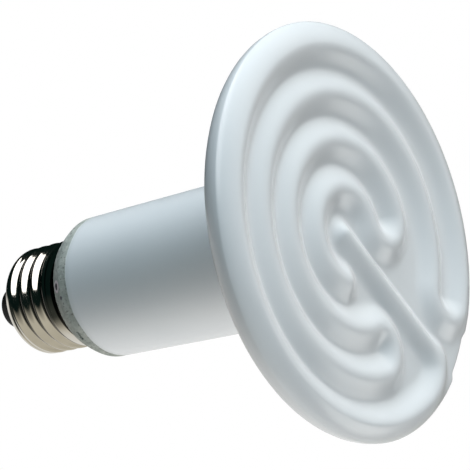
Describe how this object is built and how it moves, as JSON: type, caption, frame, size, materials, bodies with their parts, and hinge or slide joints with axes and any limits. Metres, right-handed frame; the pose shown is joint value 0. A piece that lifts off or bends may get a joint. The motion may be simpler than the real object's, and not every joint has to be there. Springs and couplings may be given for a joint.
{
  "type": "ceramic heat emitter",
  "caption": "White glazed ceramic heat emitter: round disc with a raised serpentine ridge on its face, hollow stem and nickel-plated Edison screw cap",
  "frame": {"origin": "centre of the disc's axis on the plane of the ridge crests, on which the emitter stands face down", "axes": "+Z along the stem from the radiating face to the screw cap, +X to the left of the face seen from its front, +Y up that view"},
  "size_m": [0.092, 0.092, 0.1073],
  "materials": {
    "white_glaze": "gloss glaze, bare rough foot at the cap",
    "resistance_wire": "wound wire, oxidised",
    "lead_wire": "drawn wire",
    "sleeve_ceramic": "unglazed, fired",
    "cap_cement": "set cement, rough",
    "nickel_plate": "bright nickel plate",
    "black_insulator": "black moulded insulator",
    "contact_brass": "pressed sheet",
    "solder": "dull solder"
  },
  "bodies": {
    "root": {"ceramic_body": "white_glaze", "heating_coil": "resistance_wire", "contact_lead": "lead_wire", "shell_lead": "lead_wire", "lead_sleeve": "sleeve_ceramic", "cap_cement": "cap_cement", "screw_shell": "nickel_plate", "cap_insulator": "black_insulator", "centre_contact": "contact_brass", "contact_solder": "solder", "shell_solder": "solder"}
  },
  "joints": []
}
